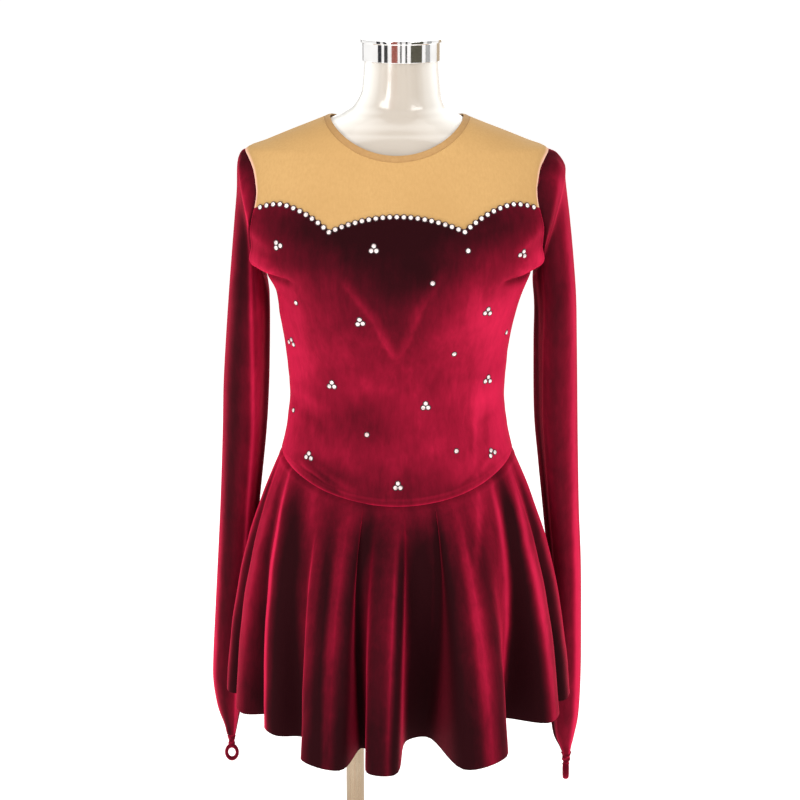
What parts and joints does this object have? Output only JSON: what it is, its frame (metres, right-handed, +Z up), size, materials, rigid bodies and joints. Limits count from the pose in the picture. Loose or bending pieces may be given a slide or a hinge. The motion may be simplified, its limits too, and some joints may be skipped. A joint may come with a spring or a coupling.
{
  "type": "figure skating dress on a limbless dress form",
  "caption": "Long-sleeved velvet skating dress with a mesh yoke, a fluted skirt and finger loops, on a glossy limbless dress form with a steel stand.",
  "frame": {"origin": "on the floor, under the middle of the whole object and of the round base", "axes": "+Z up; the dress faces -Y; +X is to the right of a person looking at its front"},
  "size_m": [0.468, 0.4204, 1.438],
  "materials": {
    "velvet": "stretch velvet, deep burgundy, soft nap with a bright sheen",
    "mesh": "fine power mesh, golden nude, matt",
    "binding": "folded strip of the mesh, a little darker",
    "stones": "foil-backed cut glass stones",
    "form": "glossy warm white",
    "cap": "polished chrome",
    "stand": "satin steel"
  },
  "bodies": {
    "root": {"yoke_front": "mesh", "yoke_back": "mesh", "neck_binding": "binding", "bodice_front": "velvet", "bodice_back": "velvet", "skirt": "velvet", "sleeve_left": "velvet", "sleeve_right": "velvet", "finger_loop_left": "velvet", "finger_loop_right": "velvet", "form_torso": "form", "neck_cap": "cap", "pole": "stand", "pole_collar": "stand", "pole_foot": "stand", "base": "stand"}
  },
  "joints": []
}
